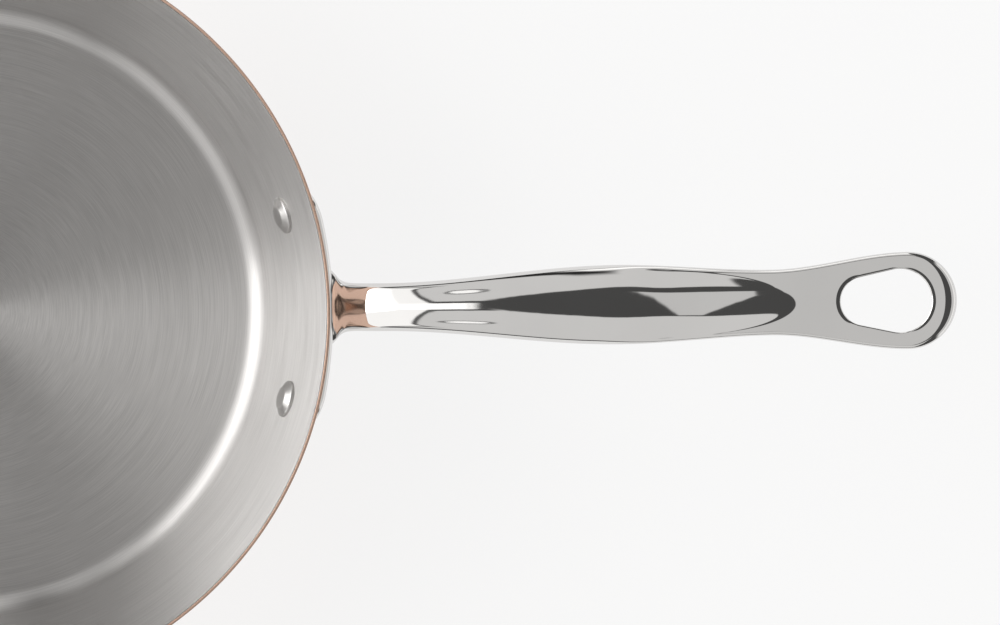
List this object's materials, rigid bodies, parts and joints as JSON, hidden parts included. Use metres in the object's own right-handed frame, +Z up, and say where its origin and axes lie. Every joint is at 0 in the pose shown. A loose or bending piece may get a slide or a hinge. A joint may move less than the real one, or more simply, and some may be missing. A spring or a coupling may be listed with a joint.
{
  "type": "saute pan",
  "caption": "Open flared saute pan of copper lined with steel, with a square-cut rim and one long cast handle that is riveted on and ends in a flat hanging loop.",
  "frame": {"origin": "centre of the pan's flat base, on the surface that it stands on", "axes": "+Z up along the pan's axis, +X from the pan's centre towards the handle's tip, +Y to the left seen from above with the handle pointing right and away"},
  "size_m": [0.5074, 0.28, 0.0951],
  "materials": {
    "copper": "satin, brushed round the pan",
    "lining": "brushed in fine rings round the pan's axis",
    "handle": "mirror polished stainless steel",
    "rivets": "satin"
  },
  "bodies": {
    "root": {"copper_shell": "copper", "steel_lining": "lining", "handle": "handle", "rivet_left": "rivets", "rivet_right": "rivets"}
  },
  "joints": []
}
